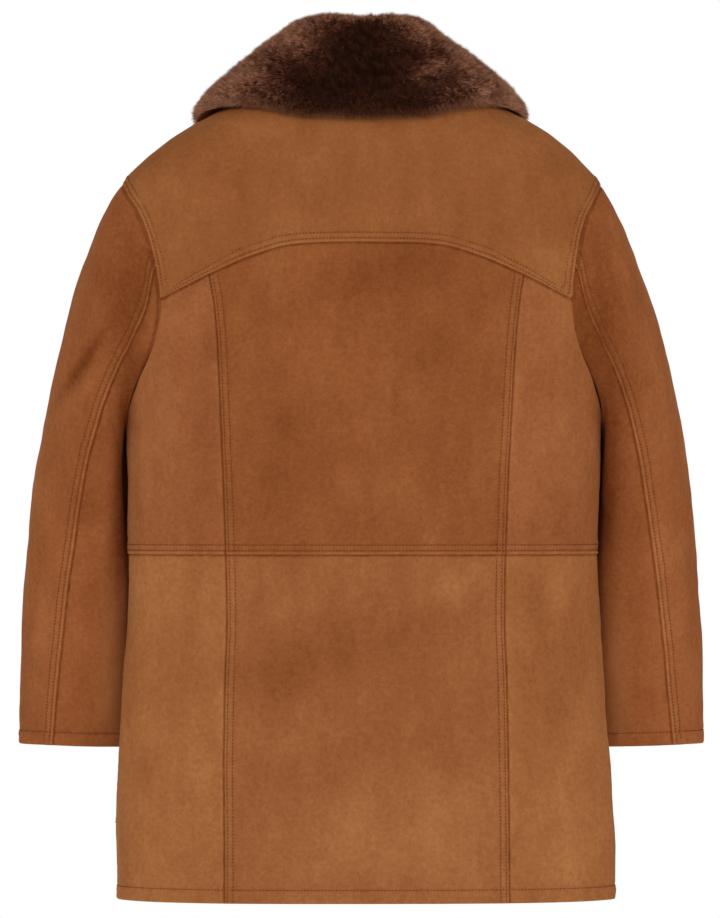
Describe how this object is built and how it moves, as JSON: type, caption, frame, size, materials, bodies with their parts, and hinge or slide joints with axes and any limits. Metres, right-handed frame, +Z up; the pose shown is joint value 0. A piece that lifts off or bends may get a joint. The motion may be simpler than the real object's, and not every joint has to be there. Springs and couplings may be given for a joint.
{
  "type": "shearling coat",
  "caption": "Three-quarter shearling coat in suede with a deep fur collar, a curved back yoke and princess seams, filled out as if worn.",
  "frame": {"origin": "middle of the neck, level with the shoulders' slope, where a wearer or a hanger's top carries the coat", "axes": "+Z up, -Y the coat's front, +X its wearer's left"},
  "size_m": [0.7174, 0.2667, 0.9188],
  "materials": {
    "suede": "napped tan suede",
    "fur": "deep dark brown fur",
    "horn": "satin dark horn"
  },
  "bodies": {
    "root": {"back_yoke": "suede", "back_centre_upper": "suede", "back_centre_lower": "suede", "back_side_upper_left": "suede", "back_side_upper_right": "suede", "back_side_lower_left": "suede", "back_side_lower_right": "suede", "front_left": "suede", "front_right": "suede", "sleeve_top_left": "suede", "sleeve_top_right": "suede", "sleeve_under_left": "suede", "sleeve_under_right": "suede", "collar": "fur", "button_1": "horn", "button_2": "horn", "button_3": "horn", "button_4": "horn"}
  },
  "joints": []
}
